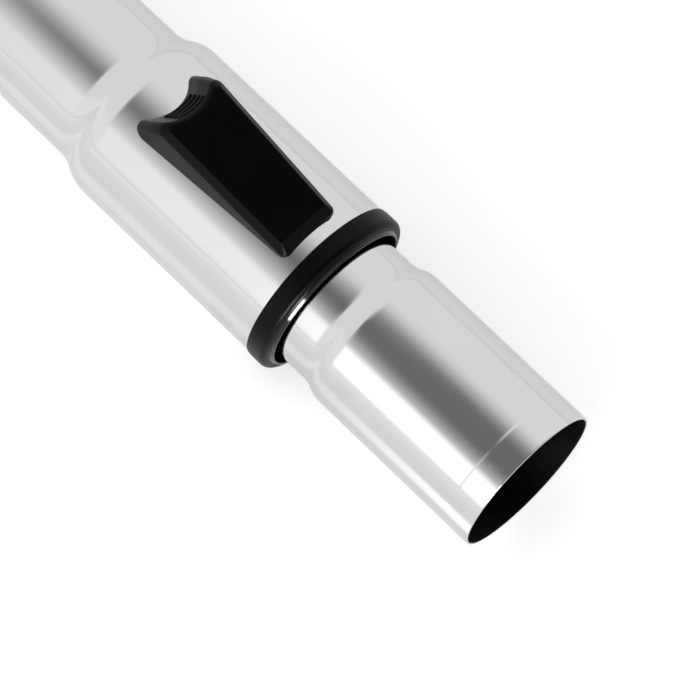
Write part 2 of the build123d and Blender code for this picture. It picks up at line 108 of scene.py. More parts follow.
# Thumb slide
TOP_SLOPE = 10.57
TAIL_HALF_WIDTH = 10.15 * MM
NOSE_HALF_WIDTH = 8.1 * MM
SIDE_DRAFT = 4.3
BEVEL_WIDTH = 1.25 * MM
BEVEL_HEIGHT = 1.9 * MM
RAMP_ANGLE = 54.0
SCOOP_RADIUS = 12.5 * MM
HORN_REACH = 5.0 * MM
HORN_ROUND = 1.6 * MM
TAIL_CORNER = 4.5 * MM
NOSE_CORNER = 1.5 * MM
NOSE_BEVEL_RUN = 2.0 * MM
NOSE_BEVEL_DROP = 1.1 * MM
EDGE_ROUND = 0.3 * MM
SCOOP_EDGE = 1.5 * MM
LOWER_ROUND = 0.12 * MM
TOP_AT_ANCHOR = 27.13 * MM
ANCHOR_SETBACK = 0.2 * MM
RAMP_SETBACK = 14.5 * MM
RAMP_RUN = 6.1 * MM
FRONT_SETBACK = 26.2 * MM
DRAFT_BASE = 16.15 * MM
CAP_WALL = 1.3 * MM
SLIDE_GAP = 0.2 * MM
GRIP_RIBS = 4
GRIP_PITCH = 2.1 * MM
GRIP_WIDTH = 1.2 * MM
GRIP_HEIGHT = 0.4 * MM
GRIP_HALF_ANGLE = 18.0

# Plates and finger inside the thumb slide
PLATE_INSIDE = 4.9 * MM
PLATE_WALL = 1.2 * MM
PLATE_EDGE = 0.1 * MM
CAM_RUN = 2.6 * MM
CAM_RISE = 2.0 * MM
CAM_SLOT = 0.9 * MM
LEG_LENGTH = 3.5 * MM
HOOK_REACH = 1.2 * MM
HOOK_HEIGHT = 0.7 * MM
HOOK_CHAMFER = 0.3 * MM
HOOK_LIFT = 0.02 * MM
CAM_TAIL = 1.85 * MM
CAM_FRONT = 3.15 * MM
FINGER_WALL = 1.5 * MM
FINGER_WIDTH = 2.4 * MM
SLIDE_TRAVEL = 2.6 * MM

# Return spring
SPRING_TURNS = 7
SPRING_WIRE = 0.17 * MM

# Places, from the solids
outer_low, outer_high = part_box("outer_tube")
inner_low, inner_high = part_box("inner_tube")
collar_low, collar_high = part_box("end_collar")
wiper_low, wiper_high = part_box("wiper_ring")
pawl_low, pawl_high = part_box("lock_pawl")
pin_low, pin_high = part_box("pawl_pin")
button_low, button_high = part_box("button_cap")
spring_low, spring_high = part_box("return_spring")
tail_x = outer_low.x
swell_end_x = outer_high.x
swell_tail_x = swell_end_x - SWELL_LENGTH
inner_tail_x = inner_low.x
mouth_x = inner_high.x
socket_x = mouth_x - SOCKET_DEPTH
pawl_x = (pawl_low.x + pawl_high.x) / 2
pin_z = (pin_low.z + pin_high.z) / 2
lug_x = swell_end_x - LUG_SETBACK
spring_z = (spring_low.z + spring_high.z) / 2
ramp_x = pawl_x - RAMP_SETBACK
horn_x = ramp_x - HORN_REACH
button_front_x = pawl_x + FRONT_SETBACK
slope = tan(radians(TOP_SLOPE))
draft = tan(radians(SIDE_DRAFT))
ramp_cos = cos(radians(RAMP_ANGLE))
ramp_sin = sin(radians(RAMP_ANGLE))


# Node trees

class Tree:
    """A node tree under construction, with short calls for its nodes."""

    def __init__(self, tree):
        self.tree = tree

    def node(self, kind, settings=None, **values):
        node = self.tree.nodes.new(kind)
        for name, value in (settings or {}).items():
            setattr(node, name, value)
        for name, value in values.items():
            self.feed(node.inputs[name.replace("_", " ")], value)
        return node

    def geo(self, kind, settings=None, **values):
        return self.node("GeometryNode" + kind, settings, **values)

    def feed(self, socket, value):
        """Gives a socket a value, another socket or a node's first output."""
        if isinstance(value, bpy.types.Node):
            value = value.outputs[0]
        if isinstance(value, bpy.types.NodeSocket):
            self.tree.links.new(value, socket)
        else:
            socket.default_value = value

    def math(self, operation, *values):
        node = self.node("ShaderNodeMath", {"operation": operation})
        for socket, value in zip(node.inputs, values):
            self.feed(socket, value)
        return node

    def times(self, one, other):
        return self.math("MULTIPLY", one, other)

    def plus(self, one, other):
        return self.math("ADD", one, other)

    def minus(self, one, other):
        return self.math("SUBTRACT", one, other)

    def scaled(self, vector, factor):
        node = self.node("ShaderNodeVectorMath", {"operation": "SCALE"}, Scale=factor)
        self.feed(node.inputs[0], vector)
        return node

    def vector(self, x, y, z):
        return self.node("ShaderNodeCombineXYZ", X=x, Y=y, Z=z)

    def step_down(self, value, place, width):
        """1 below place, 0 above it, with a smooth change of the given width."""
        node = self.node("ShaderNodeMapRange", {"interpolation_type": "SMOOTHSTEP"}, Value=value)
        self.feed(node.inputs["From Min"], self.minus(place, self.times(width, 0.5)))
        self.feed(node.inputs["From Max"], self.plus(place, self.times(width, 0.5)))
        self.feed(node.inputs["To Min"], 1.0)
        self.feed(node.inputs["To Max"], 0.0)
        return node.outputs["Result"]


class Shape(Tree):
    """A Geometry Nodes tree with named inputs."""

    def __init__(self, name, inputs):
        super().__init__(bpy.data.node_groups.new(name, "GeometryNodeTree"))
        face = self.tree.interface
        face.new_socket("Geometry", in_out="INPUT", socket_type="NodeSocketGeometry")
        face.new_socket("Geometry", in_out="OUTPUT", socket_type="NodeSocketGeometry")
        for label, kind in inputs.items():
            face.new_socket(label, in_out="INPUT", socket_type="NodeSocket" + kind)
        self.given = self.tree.nodes.new("NodeGroupInput").outputs
        self.result = self.tree.nodes.new("NodeGroupOutput").inputs[0]

    def angle_about_wand(self):
        """Angle round the wand, from the top, of the place that is worked on."""
        place = self.geo("InputPosition")
        parts = self.node("ShaderNodeSeparateXYZ", Vector=place).outputs
        return parts[0], self.math("ARCTAN2", parts[1], parts[2])

    def turned(self, section):
        """Sheet turned from a chain of section points (x, radius), at the angles of the stations."""
        stations = self.geo("ObjectInfo", Object=self.given["Stations"]).outputs["Geometry"]
        along = self.geo("AttributeDomainSize", Geometry=section).outputs["Point Count"]
        around = self.geo("AttributeDomainSize", Geometry=stations).outputs["Point Count"]
        grid = self.geo("MeshGrid", Vertices_X=along, Vertices_Y=around)
        index = self.geo("InputIndex")
        row = self.math("FLOOR", self.math("DIVIDE", self.plus(index, 0.5), around))
        column = self.minus(index, self.times(row, around))
        row = self.plus(row, 0.5)
        column = self.plus(column, 0.5)
        position = self.geo("InputPosition")
        pick = {"data_type": "FLOAT_VECTOR"}
        point = self.geo("SampleIndex", pick, Geometry=section, Value=position, Index=row)
        point = self.node("ShaderNodeSeparateXYZ", Vector=point).outputs
        turn = self.geo("SampleIndex", pick, Geometry=stations, Value=position, Index=column)
        angle = self.node("ShaderNodeSeparateXYZ", Vector=turn)
        wall = self.geo("InputNamedAttribute", {"data_type": "FLOAT"}, Name="wall")
        wall = self.geo("SampleIndex", Geometry=section, Value=wall, Index=row)
        sheet = self.geo("StoreNamedAttribute", Geometry=grid, Name="wall")
        self.feed(sheet.inputs["Value"], wall)
        place = self.vector(
            point[0],
            self.times(point[1], self.math("SINE", angle)),
            self.times(point[1], self.math("COSINE", angle)),
        )
        sheet = self.geo("SetPosition", Geometry=sheet, Position=place)
        return self.geo("MergeByDistance", Geometry=sheet, Distance=0.001 * MM)

    def finish(self, geometry, crease=None, bore=None):
        """Smooth faces with sharp edges above the crease angle, then the materials."""
        smooth = self.geo("SetShadeSmooth", Geometry=geometry)
        if crease:
            edge = self.geo("InputMeshEdgeAngle")
            sharp = self.math("GREATER_THAN", edge, crease)
            node = self.geo("SetShadeSmooth", {"domain": "EDGE"}, Geometry=smooth, Selection=sharp)
            self.feed(node.inputs["Shade Smooth"], False)
            smooth = node
        real = self.geo("RealizeInstances", Geometry=smooth)
        last = self.geo("SetMaterial", Geometry=real, Material=self.given["Material"])
        if bore:
            last = self.geo("SetMaterial", Geometry=last, Selection=bore)
            self.feed(last.inputs["Material"], self.given["Bore Material"])
        self.feed(self.result, last)
        return self.tree


def turned_ring_tree():
    """Solid ring turned from a closed section."""
    shape = Shape("turned_ring", {"Stations": "Object", "Material": "Material"})
    return shape.finish(shape.turned(shape.given["Geometry"]), crease=radians(40))


def turned_wall_tree():
    """Tube turned from its outer section, with a window on top, a pair of holes and its wall."""
    names = ("Window Tail", "Window Front", "Window Half Angle")
    pair = ("Holes Tail", "Holes Front", "Holes Angle", "Holes Half Angle")
    inputs = {"Stations": "Object", "Material": "Material", "Bore Material": "Material"}
    inputs.update({name: "Float" for name in names + pair})
    shape = Shape("turned_wall", inputs)
    given = shape.given
    sheet = shape.turned(given["Geometry"])
    x, angle = shape.angle_about_wand()
    angle = shape.math("ABSOLUTE", angle)
    inside = []
    for tail, front, middle, half in (names[:2] + (None, names[2]), pair):
        off = shape.math("ABSOLUTE", shape.minus(angle, given[middle])) if middle else angle
        past_tail = shape.math("GREATER_THAN", x, given[tail])
        before_front = shape.math("LESS_THAN", x, given[front])
        near = shape.math("LESS_THAN", off, given[half])
        inside.append(shape.times(near, shape.times(past_tail, before_front)))
    cut = shape.plus(*inside)
    sheet = shape.geo("DeleteGeometry", {"domain": "FACE"}, Geometry=sheet, Selection=cut)
    wall = shape.geo("InputNamedAttribute", {"data_type": "FLOAT"}, Name="wall")
    thick = shape.geo("ExtrudeMesh", {"mode": "FACES"}, Mesh=sheet, Offset_Scale=0.0, Individual=False)
    spot = shape.angle_about_wand()[1]
    inwards = shape.vector(0.0, shape.math("SINE", spot), shape.math("COSINE", spot))
    inwards = shape.scaled(inwards, shape.times(wall, -1.0))
    bore = shape.geo("SetPosition", Geometry=thick.outputs["Mesh"], Offset=inwards)
    shape.feed(bore.inputs["Selection"], thick.outputs["Top"])
    bore = shape.geo("StoreNamedAttribute", {"data_type": "BOOLEAN", "domain": "FACE"},
                      Geometry=bore, Name="bore", Value=thick.outputs["Top"])
    bore = shape.geo("FlipFaces", Mesh=bore)
    both = shape.geo("JoinGeometry")
    shape.feed(both.inputs[0], bore)
    shape.feed(both.inputs[0], sheet)
    merged = shape.geo("MergeByDistance", Geometry=both, Distance=0.001 * MM)
    is_bore = shape.geo("InputNamedAttribute", {"data_type": "BOOLEAN"}, Name="bore")
    return shape.finish(merged, crease=radians(40), bore=is_bore)


def pressed_forms_tree():
    """Row of lock notches on top of a tube and two guide grooves below, pressed in with their wall."""
    sizes = (
        "Radius", "First Notch", "Notch Pitch", "Notch Count", "Notch Length", "Notch Width", "Notch Depth",
        "Groove Tail", "Groove Front", "Groove Width", "Groove Depth", "Groove Angle", "Bend",
    )
    shape = Shape("pressed_forms", {**{name: "Float" for name in sizes}, "Material": "Material"})
    given, math = shape.given, shape.math
    times, plus, minus = shape.times, shape.plus, shape.minus
    x, angle = shape.angle_about_wand()

    def pressed(turn, width, depth, along):
        """How far a form goes in at a turn from its middle, with a flat floor."""
        lateral = times(given["Radius"], math("ABSOLUTE", math("SINE", turn)))
        across = shape.step_down(lateral, times(given[width], 0.5), given["Bend"])
        crown = times(given["Radius"], minus(math("COSINE", turn), 1.0))
        drop = math("MAXIMUM", plus(crown, given[depth]), 0.0)
        near = math("GREATER_THAN", math("COSINE", turn), 0.5)
        return times(times(across, along), times(drop, near))

    count = math("ROUND", math("DIVIDE", minus(x, given["First Notch"]), given["Notch Pitch"]))
    count = math("MAXIMUM", math("MINIMUM", count, minus(given["Notch Count"], 1.0)), 0.0)
    middle = plus(given["First Notch"], times(count, given["Notch Pitch"]))
    off = math("ABSOLUTE", minus(x, middle))
    along_notch = shape.step_down(off, times(given["Notch Length"], 0.5), given["Bend"])
    notch = pressed(angle, "Notch Width", "Notch Depth", along_notch)
    notch_move = shape.vector(0.0, 0.0, times(notch, -1.0))

    past_tail = minus(1.0, shape.step_down(x, given["Groove Tail"], given["Bend"]))
    along_groove = times(past_tail, shape.step_down(x, given["Groove Front"], given["Bend"]))
    side = math("SIGN", angle)
    from_bottom = minus(pi, math("ABSOLUTE", angle))
    groove_turn = minus(from_bottom, given["Groove Angle"])
    groove = pressed(groove_turn, "Groove Width", "Groove Depth", along_groove)
    sideways = times(times(math("SINE", given["Groove Angle"]), side), -1.0)
    groove_move = shape.scaled(shape.vector(0.0, sideways, math("COSINE", given["Groove Angle"])), groove)
    pressed_in = shape.geo("SetPosition", Geometry=given["Geometry"], Offset=notch_move)
    pressed_in = shape.geo("SetPosition", Geometry=pressed_in, Offset=groove_move)
    real = shape.geo("RealizeInstances", Geometry=pressed_in)
    outside = shape.minus(1.0, shape.geo(
        "InputNamedAttribute", {"data_type": "BOOLEAN"}, Name="bore"))
    last = shape.geo("SetMaterial", Geometry=real, Selection=outside, Material=given["Material"])
    shape.feed(shape.result, last)
    return shape.tree


def grip_ribs_tree():
    """Ribs across the scoop: bars along its round, one pitch apart up the ramp, thin at both ends."""
    sizes = ("Scoop Radius", "Half Angle", "Pitch", "Width", "Ramp Angle", "Base X", "Base Z")
    inputs = {"Count": "Int", "Material": "Material"}
    inputs.update({name: "Float" for name in sizes})
    shape = Shape("grip_ribs", inputs)
    given, math = shape.given, shape.math
    times, plus, minus = shape.times, shape.plus, shape.minus
    steps = 48
    line = shape.geo("MeshLine", Count=steps + 1)
    share = math("DIVIDE", shape.geo("InputIndex"), float(steps))
    turn = times(minus(times(share, 2.0), 1.0), given["Half Angle"])
    forward = times(given["Scoop Radius"], minus(math("COSINE", turn), 1.0))
    lateral = times(given["Scoop Radius"], math("SINE", turn))
    bar = shape.geo("SetPosition", Geometry=line,
                     Position=shape.vector(forward, lateral, 0.0))
    bar = shape.geo("MeshToCurve", Mesh=bar)
    taper = math("MINIMUM", times(minus(0.5, math("ABSOLUTE", minus(share, 0.5))), 4.0), 1.0)
    bar = shape.geo("SetCurveRadius", Curve=bar, Radius=math("MAXIMUM", taper, 0.02))
    width = times(given["Width"], 0.5)
    section = shape.geo("CurvePrimitiveCircle", Resolution=12, Radius=width)
    bar = shape.geo("CurveToMesh", Curve=bar, Profile_Curve=section, Fill_Caps=True)
    up = shape.vector(math("COSINE", given["Ramp Angle"]), 0.0, math("SINE", given["Ramp Angle"]))
    row = shape.geo("MeshLine", Count=given["Count"], Offset=shape.scaled(up, given["Pitch"]))
    tilt = minus(given["Ramp Angle"], pi / 2)
    ribs = shape.geo("InstanceOnPoints", Points=row, Instance=bar)
    shape.feed(ribs.inputs["Rotation"], shape.vector(0.0, times(tilt, -1.0), 0.0))
    placed = shape.geo("Transform", Geometry=ribs,
                        Translation=shape.vector(given["Base X"], 0.0, given["Base Z"]))
    return shape.finish(placed)


def coil_tree():
    """Compression coil along the wand, its end turns closed."""
    inputs = {"Turns": "Float", "Length": "Float", "Coil Radius": "Float", "Wire Radius": "Float",
              "Start X": "Float", "Height": "Float", "Material": "Material"}
    shape = Shape("coil", inputs)
    given, math = shape.given, shape.math
    times, plus, minus = shape.times, shape.plus, shape.minus
    steps = 240
    line = shape.geo("MeshLine", Count=steps + 1)
    share = math("DIVIDE", shape.geo("InputIndex"), float(steps))
    turn = times(share, times(given["Turns"], 2 * pi))
    ease = times(math("SINE", times(share, 2 * pi)), -0.1)
    x = plus(given["Start X"], times(given["Length"], plus(share, ease)))
    place = shape.vector(
        x,
        times(given["Coil Radius"], math("SINE", turn)),
        plus(given["Height"], times(given["Coil Radius"], math("COSINE", turn))),
    )
    wire = shape.geo("SetPosition", Geometry=line, Position=place)
    wire = shape.geo("MeshToCurve", Mesh=wire)
    section = shape.geo("CurvePrimitiveCircle", Resolution=12, Radius=given["Wire Radius"])
    wire = shape.geo("CurveToMesh", Curve=wire, Profile_Curve=section, Fill_Caps=True)
    return shape.finish(wire)


# Meshes

def linked(name, data):
    piece = bpy.data.objects.new(name, data)
    bpy.context.scene.collection.objects.link(piece)
    return piece


def mesh_object(name, points, faces=(), edges=()):
    mesh = bpy.data.meshes.new(name)
    mesh.from_pydata(points, edges, faces)
    mesh.update()
    return linked(name, mesh)


def section_object(points, wall=None):
    """Chain of section points (x, radius) with the wall at each of them."""
    chain = [(x, r, 0.0) for x, r in points]
    piece = mesh_object("section", chain, edges=[(i, i + 1) for i in range(len(chain) - 1)])
    if wall:
        piece.data.attributes.new("wall", "FLOAT", "POINT").data.foreach_set("value", wall)
    return piece


def stations_object(spacing, extra=()):
    """Angles round the wand, evenly spaced, but for the extra ones that a form needs."""
    extra = sorted(a % 360 for a in extra)
    even = [i * spacing for i in range(round(360 / spacing))]
    free = [a for a in even if all(min(abs(a - e), 360 - abs(a - e)) > spacing * 0.3 for e in extra)]
    angles = sorted(free + extra)
    angles.append(angles[0] + 360)
    return mesh_object("stations", [(radians(a), 0.0, 0.0) for a in angles])


def grown(name, start, steps):
    """Runs the object through its node trees and keeps the result as a plain mesh."""
    for tree, values in steps:
        modifier = start.modifiers.new(tree.name, "NODES")
        modifier.node_group = tree
        for item in tree.interface.items_tree:
            if item.in_out == "INPUT" and item.name in values:
                modifier[item.identifier] = values[item.name]
    start.data.update()
    graph = bpy.context.evaluated_depsgraph_get()
    graph.update()
    mesh = bpy.data.meshes.new_from_object(
        start.evaluated_get(graph), preserve_all_data_layers=True, depsgraph=graph)
    bpy.data.objects.remove(start)
    mesh.name = name
    return linked(name, mesh)


def outwards(piece):
    """Merges doubles and turns the faces of a closed mesh outwards."""
    shell = bmesh.new()
    shell.from_mesh(piece.data)
    bmesh.ops.remove_doubles(shell, verts=shell.verts, dist=0.0005 * MM)
    bmesh.ops.recalc_face_normals(shell, faces=shell.faces)
    shell.to_mesh(piece.data)
    shell.free()
    return piece


def flare(start, end, steps=16):
    """Two tangent arcs between straight runs at two radii."""
    half_run = (end[0] - start[0]) / 2
    half_rise = (end[1] - start[1]) / 2
    bend = (half_run**2 + half_rise**2) / (2 * half_rise)
    whole = 2 * atan2(half_rise, half_run)
    first = []
    for i in range(1, steps + 1):
        a = whole * i / steps
        first.append((start[0] + bend * sin(a), start[1] + bend * (1 - cos(a))))
    second = [(start[0] + end[0] - x, start[1] + end[1] - r) for x, r in reversed(first[:-1])]
    return [start] + first + second + [end]


def rim(x, radius, way):
    """Rounded edge of a tube's end, as section points and walls; way is 1 where the metal is ahead."""
    points = []
    for a in (0, 30, 60, 90):
        inset = RIM_ROUND * (1 - sin(radians(a)))
        points.append((x + way * RIM_ROUND * (1 - cos(radians(a))), radius - inset, TUBE_WALL - 2 * inset))
    points.append((x + way * (RIM_ROUND + CLOSE), radius, TUBE_WALL))
    return points if way > 0 else points[::-1]


def tube_section(runs):
    """Section of a drawn tube from its rims and runs."""
    points = []
    for x, r, wall in runs:
        if not points or x - points[-1][0] > 0.002 * MM or abs(r - points[-1][1]) > 0.002 * MM:
            points.append((x, r, wall))
    return section_object([(x, r) for x, r, wall in points], [wall for x, r, wall in points])


def held(points):
    """Points of a straight or flared run with the full wall, and one more close to each end."""
    (x0, r0), (x1, r1) = points[0], points[-1]
    start = (x0 - HOLD, r0)
    end = (x1 + HOLD, r1)
    return [(x, r, TUBE_WALL) for x, r in [start] + points + [end]]


# Materials

class Finish(Tree):
    """A material's node tree round one Principled shader."""

    def __init__(self, name, colour, roughness, metallic=0.0, **settings):
        self.material = bpy.data.materials.new(name)
        self.material.use_nodes = True
        super().__init__(self.material.node_tree)
        self.shader = self.tree.nodes["Principled BSDF"]
        self.feed(self.shader.inputs["Base Color"], (*colour, 1.0))
        self.feed(self.shader.inputs["Roughness"], roughness)
        self.feed(self.shader.inputs["Metallic"], metallic)
        for label, value in settings.items():
            self.feed(self.shader.inputs[label.replace("_", " ")], value)
        self.place = self.node("ShaderNodeTexCoord").outputs["Object"]

    def stretched(self, scale):
        return self.node("ShaderNodeMapping", Vector=self.place, Scale=scale)

    def noise(self, scale, detail=3.0, stretch=None):
        place = self.stretched(stretch) if stretch else self.place
        node = self.node("ShaderNodeTexNoise", Vector=place, Scale=scale, Detail=detail)
        return node.outputs["Fac"]

    def ranged(self, value, low, high):
        node = self.node("ShaderNodeMapRange", Value=value)
        self.feed(node.inputs["To Min"], low)
        self.feed(node.inputs["To Max"], high)
        return node.outputs["Result"]

    def shades(self, value, dark, light):
        node = self.node("ShaderNodeMix", {"data_type": "RGBA"})
        self.feed(node.inputs["Factor"], value)
        self.feed(node.inputs[6], (*dark, 1.0))
        self.feed(node.inputs[7], (*light, 1.0))
        self.feed(self.shader.inputs["Base Color"], node.outputs[2])

    def rough(self, value):
        self.feed(self.shader.inputs["Roughness"], value)

    def bump(self, height, strength, distance):
        node = self.node("ShaderNodeBump", Height=height, Strength=strength, Distance=distance)
        self.feed(self.shader.inputs["Normal"], node)


def chrome():
    """Bright plating over drawn steel, with faint polishing marks along the tube."""
    finish = Finish("chrome_plating", (0.68, 0.685, 0.69), 0.1, metallic=1.0)
    cloud = finish.noise(45.0, 4.0)
    marks = finish.noise(1.0, 2.0, (60.0, 2600.0, 2600.0))
    both = finish.plus(finish.times(cloud, 0.7), finish.times(marks, 0.3))
    finish.rough(finish.ranged(both, 0.05, 0.13))
    finish.shades(cloud, (0.665, 0.67, 0.676), (0.7, 0.703, 0.706))
    finish.bump(marks, 0.06, 0.02 * MM)
    return finish.material


def clouded(name, colour, roughness, cloud, shades, polish, grain=None, bump=None, **settings):
    """Finish whose shade and polish follow a cloud, with a finer grain or the cloud itself as its bump."""
    finish = Finish(name, colour, roughness, **settings)
    cloud = finish.noise(*cloud)
    finish.shades(cloud, *shades)
    finish.rough(finish.ranged(cloud, *polish))
    if bump:
        finish.bump(finish.noise(*grain) if grain else cloud, *bump)
    return finish.material


chrome_finish = chrome()
# Unplated steel inside the tubes: dull, with a draw grain, its near-black colour painted shade for the inside
# of the tubes
shaded_bore_finish = clouded(
    "bore_steel", (0.02, 0.02, 0.021), 0.5, (1.0, 4.0, (120.0, 1800.0, 1800.0)),
    ((0.009, 0.009, 0.0095), (0.03, 0.03, 0.031)), (0.38, 0.6), bump=(0.15, 0.03 * MM), metallic=1.0)
# Moulded black plastic with a fine mould grain
black_finish = clouded(
    "black_moulding", (0.001,) * 3, 0.34, (90.0, 4.0), ((0.0007,) * 3, (0.0016,) * 3), (0.28, 0.4),
    (5200.0, 2.0), (0.12, 0.02 * MM), Specular_IOR_Level=0.1)
# The same moulding, polished on the collar's lip
lip_finish = clouded(
    "black_lip", (0.001,) * 3, 0.08, (140.0, 3.0), ((0.0006,) * 3, (0.0014,) * 3), (0.05, 0.11),
    Specular_IOR_Level=0.5)
# Smooth black rubber with a wet-looking lip
rubber_finish = clouded(
    "wiper_rubber", (0.001,) * 3, 0.2, (220.0, 3.0), ((0.0008,) * 3, (0.002,) * 3), (0.14, 0.26),
    bump=(0.08, 0.05 * MM), Specular_IOR_Level=0.4)
# Natural white bearing plastic, slightly warm, with flow clouds
bearing_finish = clouded(
    "bearing_moulding", (0.62, 0.6, 0.55), 0.42, (70.0, 5.0), ((0.56, 0.545, 0.5), (0.66, 0.645, 0.6)),
    (0.34, 0.5), (3800.0, 2.0), (0.1, 0.02 * MM))
# Bright drawn wire and pin steel
steel_finish = clouded(
    "spring_steel", (0.55, 0.55, 0.54), 0.28, (2400.0, 3.0), ((0.48, 0.48, 0.47), (0.6, 0.6, 0.59)),
    (0.2, 0.36), bump=(0.1, 0.01 * MM), metallic=1.0)


# Outer tube

def outer_tube():
    window_front = swell_end_x - WINDOW_SETBACK
    window_tail = window_front - WINDOW_LENGTH
    window_half = degrees(asin(WINDOW_WIDTH / 2 / (SWELL_RADIUS - TUBE_WALL)))
    hole_half = degrees(asin((LUG_WIDTH / 2 + LUG_GAP) / (SWELL_RADIUS - TUBE_WALL)))
    hole_tail = lug_x - LUG_LENGTH / 2 - LUG_GAP
    hole_front = lug_x + LUG_LENGTH / 2 + LUG_GAP
    taper_x = tail_x + SPIGOT_LENGTH
    body_x = taper_x + SPIGOT_TAPER
    runs = rim(tail_x, SPIGOT_RADIUS, 1)
    runs += held(flare((taper_x, SPIGOT_RADIUS), (body_x, OUTER_RADIUS), 6))
    runs += held(flare((swell_tail_x - FLARE_LENGTH, OUTER_RADIUS), (swell_tail_x, SWELL_RADIUS), 22))
    runs += [(x, SWELL_RADIUS, TUBE_WALL) for x in (window_tail, window_front, hole_tail, hole_front)]
    runs += rim(swell_end_x, SWELL_RADIUS, -1)
    edges = [window_half, -window_half]
    edges += [side * (180 - LUG_ANGLE + part * hole_half) for side in (-1, 1) for part in (-1, 1)]
    stations = stations_object(2.5, edges)
    section = tube_section(runs)
    piece = grown("outer_shell", section, [(turned_wall, {
        "Stations": stations, "Material": chrome_finish, "Bore Material": shaded_bore_finish,
        "Window Tail": window_tail, "Window Front": window_front, "Window Half Angle": radians(window_half),
        "Holes Tail": hole_tail, "Holes Front": hole_front,
        "Holes Angle": radians(180 - LUG_ANGLE), "Holes Half Angle": radians(hole_half),
    })])
    bpy.data.objects.remove(stations)
    return piece


def inner_tube():
    first_notch = pawl_x - NOTCH_PITCH * (NOTCH_COUNT - 1)
    groove_tail = inner_tail_x + GROOVE_TAIL
    groove_front = mouth_x - GROOVE_FRONT
    bends = (-0.5, -0.25, 0.0, 0.25, 0.5)
    marks = [groove_tail + b * PRESS_BEND for b in bends] + [groove_front + b * PRESS_BEND for b in bends]
    for i in range(NOTCH_COUNT):
        middle = first_notch + i * NOTCH_PITCH
        marks += [middle + side * NOTCH_LENGTH / 2 + b * PRESS_BEND for side in (-1, 1) for b in bends]
    flare_x = socket_x - SOCKET_FLARE
    step_x = mouth_x - FORMING_PLACE
    runs = rim(inner_tail_x, INNER_RADIUS, 1)
    runs += [(x, INNER_RADIUS, TUBE_WALL) for x in sorted(marks)]
    runs += held(flare((flare_x, INNER_RADIUS), (socket_x, SOCKET_RADIUS - FORMING_STEP), 18))
    runs += held(flare((step_x, SOCKET_RADIUS - FORMING_STEP), (step_x + 1.0 * MM, SOCKET_RADIUS), 4))
    runs += rim(mouth_x, SOCKET_RADIUS, -1)
    notch_edge = degrees(asin(NOTCH_WIDTH / 2 / INNER_RADIUS))
    groove_edge = degrees(asin(GROOVE_WIDTH / 2 / INNER_RADIUS))
    bend = degrees(PRESS_BEND / INNER_RADIUS)
    edges = [side * notch_edge + b * bend for side in (-1, 1) for b in bends]
    for groove in (180 - GROOVE_ANGLE, 180 + GROOVE_ANGLE):
        edges += [groove + side * groove_edge + b * bend for side in (-1, 1) for b in bends]
    stations = stations_object(2.5, edges)
    piece = grown("inner_shell", tube_section(runs), [
        (turned_wall, {"Stations": stations, "Material": chrome_finish, "Bore Material": shaded_bore_finish}),
        (pressed_forms, {
            "Radius": INNER_RADIUS, "First Notch": first_notch, "Notch Pitch": NOTCH_PITCH,
            "Notch Count": float(NOTCH_COUNT), "Notch Length": NOTCH_LENGTH, "Notch Width": NOTCH_WIDTH,
            "Notch Depth": NOTCH_DEPTH, "Groove Tail": groove_tail, "Groove Front": groove_front,
            "Groove Width": GROOVE_WIDTH, "Groove Depth": GROOVE_DEPTH, "Groove Angle": radians(GROOVE_ANGLE),
            "Bend": PRESS_BEND, "Material": chrome_finish,
        }),
    ])
    bpy.data.objects.remove(stations)
    return piece


def rounded(corners, steps=4, hold=0.0):
    """Closed section from corners (x, radius, round): each corner cut by an arc of its round.

    Points at the hold's distance from each arc keep the runs between the arcs straight in the light.
    """
    points = []
    for i, (x, r, size) in enumerate(corners):
        here = Vector((x, r))
        before = (Vector(corners[i - 1][:2]) - here).normalized()
        after = (Vector(corners[(i + 1) % len(corners)][:2]) - here).normalized()
        if size == 0:
            points.append(here)
            continue
        half = before.angle(after) / 2
        reach = size / tan(half)
        centre = here + (before + after).normalized() * size / sin(half)
        start = here + before * reach - centre
        sweep = (here + after * reach - centre).angle_signed(start)
        if hold:
            points.append(here + before * (reach + hold))
        for k in range(steps + 1):
            points.append(centre + Matrix.Rotation(sweep * k / steps, 2) @ start)
        if hold:
            points.append(here + after * (reach + hold))
    points.append(points[0])
    return [tuple(p) for p in points]


def ring(name, corners, material, spacing=2.5):
    stations = stations_object(spacing)
    section = section_object(rounded(corners, 6, CLOSE))
    piece = grown(name, section, [(turned_ring, {"Stations": stations, "Material": material})])
    bpy.data.objects.remove(stations)
    return outwards(piece)


def collar():
    """Moulded collar: skirt, shoulder with a parting line, polished lip and recess for the wiper."""
    front = collar_high.x
    radius = collar_high.z
    skirt_x = collar_low.x
    line = PARTING_STEP
    line_x = swell_end_x + PARTING_PLACE
    corners = [
        (skirt_x, SKIRT_BORE, 0.2 * MM),
        (skirt_x, SLEEVE_RADIUS - 0.02 * MM, 0.2 * MM),
        (swell_end_x, SLEEVE_RADIUS - 0.02 * MM, 0),
        (swell_end_x, radius - line, 0.08 * MM),
        (line_x, radius - line, 0.03 * MM),
        (line_x + line, radius, 0.1 * MM),
        (front - LIP_HEIGHT, radius, COLLAR_ROUND),
        (front - LIP_HEIGHT, LIP_FOOT, 0.08 * MM),
        (front, LIP_RADIUS, 0.12 * MM),
        (front, COLLAR_OPENING, 0.2 * MM),
        (swell_end_x - COLLAR_SHOULDER, COLLAR_OPENING, 0),
        (swell_end_x - COLLAR_SHOULDER, SKIRT_BORE, 0),
    ]
    piece = ring("collar_ring", corners, black_finish)
    polished = len(piece.data.materials)
    piece.data.materials.append(lip_finish)
    for face in piece.data.polygons:
        across = Vector((0, *face.center[1:])).length
        if face.center.x > front - LIP_HEIGHT + 0.01 * MM and across < LIP_FOOT:
            face.material_index = polished
    return piece


